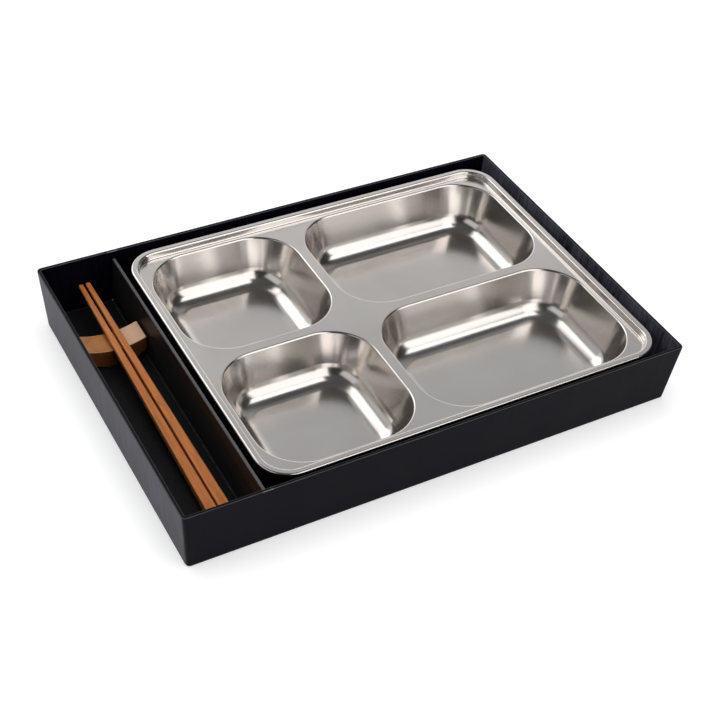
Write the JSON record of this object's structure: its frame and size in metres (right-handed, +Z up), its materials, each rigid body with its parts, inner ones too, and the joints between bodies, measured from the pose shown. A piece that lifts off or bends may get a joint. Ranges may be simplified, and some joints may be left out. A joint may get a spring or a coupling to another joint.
{
  "type": "bento lunch box",
  "caption": "Open rectangular bento lunch box with leaning black walls, a lift-out partition, a drawn steel tray of rounded food bowls, and wooden chopsticks lying on a bowed rest.",
  "frame": {"origin": "under the middle of the box, on the surface that it stands on", "axes": "+X along the box from the chopstick bay to the tray, +Y from front to back, +Z up"},
  "size_m": [0.3598, 0.2498, 0.047],
  "materials": {
    "black_plastic": "satin black with a fine upright grain outside",
    "divider_plastic": "smooth semi-gloss black",
    "satin_steel": "satin drawn stainless steel",
    "rest_wood": "smooth oiled light wood",
    "stick_wood": "smooth oiled red-brown wood"
  },
  "bodies": {
    "box": {"box_shell": "black_plastic"},
    "divider": {"divider_panel": "divider_plastic"},
    "tray": {"steel_tray": "satin_steel"},
    "stick_rest": {"chopstick_rest": "rest_wood"},
    "left_stick": {"chopstick_left": "stick_wood"},
    "right_stick": {"chopstick_right": "stick_wood"}
  },
  "joints": [
    {"name": "tray_lift", "type": "slide", "parent": "box", "child": "tray", "axis": [0, 0, 1], "range_m": [0, 0.06]},
    {"name": "divider_lift", "type": "slide", "parent": "box", "child": "divider", "axis": [0, 0, 1], "range_m": [0, 0.06]},
    {"name": "rest_lift", "type": "slide", "parent": "box", "child": "stick_rest", "axis": [0, 0, 1], "range_m": [0, 0.06]},
    {"name": "left_stick_lift", "type": "slide", "parent": "stick_rest", "child": "left_stick", "axis": [0, 0, 1], "range_m": [0, 0.06]},
    {"name": "right_stick_lift", "type": "slide", "parent": "stick_rest", "child": "right_stick", "axis": [0, 0, 1], "range_m": [0, 0.06]}
  ]
}
